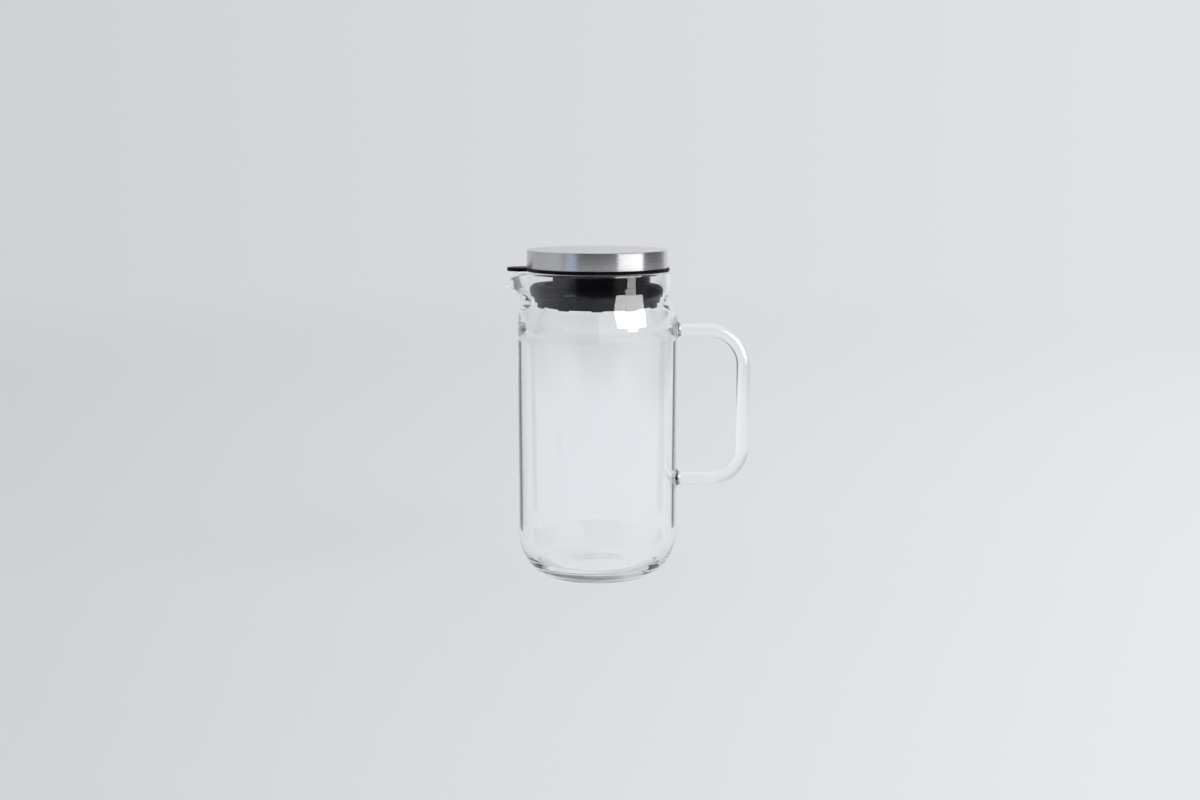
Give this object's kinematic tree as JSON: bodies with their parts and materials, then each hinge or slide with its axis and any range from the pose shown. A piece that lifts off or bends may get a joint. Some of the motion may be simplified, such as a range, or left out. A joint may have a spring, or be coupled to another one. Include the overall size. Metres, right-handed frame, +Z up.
{
  "type": "glass pitcher with lid",
  "caption": "Clear glass pitcher with a drawn spout, a rod handle, and a lift-off steel lid on a black plug with a tab over the spout.",
  "frame": {"origin": "centre of the ring that the jug stands on, on the jug's axis, at the level of the table", "axes": "+Z up along the jug's axis, +X towards the handle, -X towards the spout"},
  "size_m": [0.1466, 0.095, 0.1973],
  "materials": {
    "clear_glass": "clear, fire-polished borosilicate glass",
    "brushed_steel": "stainless steel, brushed round the side",
    "black_plastic": "satin moulded plastic",
    "black_silicone": "matt silicone rubber",
    "screw_steel": "plain stainless steel"
  },
  "bodies": {
    "jug": {"glass_jug": "clear_glass", "glass_handle": "clear_glass"},
    "lid_ring": {"strainer_ring": "black_silicone"},
    "lid": {"steel_cap": "brushed_steel", "cap_core": "black_plastic", "tab_gasket": "black_silicone", "plug_body": "black_plastic", "plug_screws": "screw_steel"}
  },
  "joints": [
    {"name": "lid_lift", "type": "slide", "parent": "jug", "child": "lid_ring", "axis": [0, 0, 1], "range_m": [0, 0.045]},
    {"name": "lid_turn", "type": "hinge", "parent": "lid_ring", "child": "lid", "pos_m": [0, 0, 0.17], "axis": [0, 0, 1], "continuous": true}
  ]
}
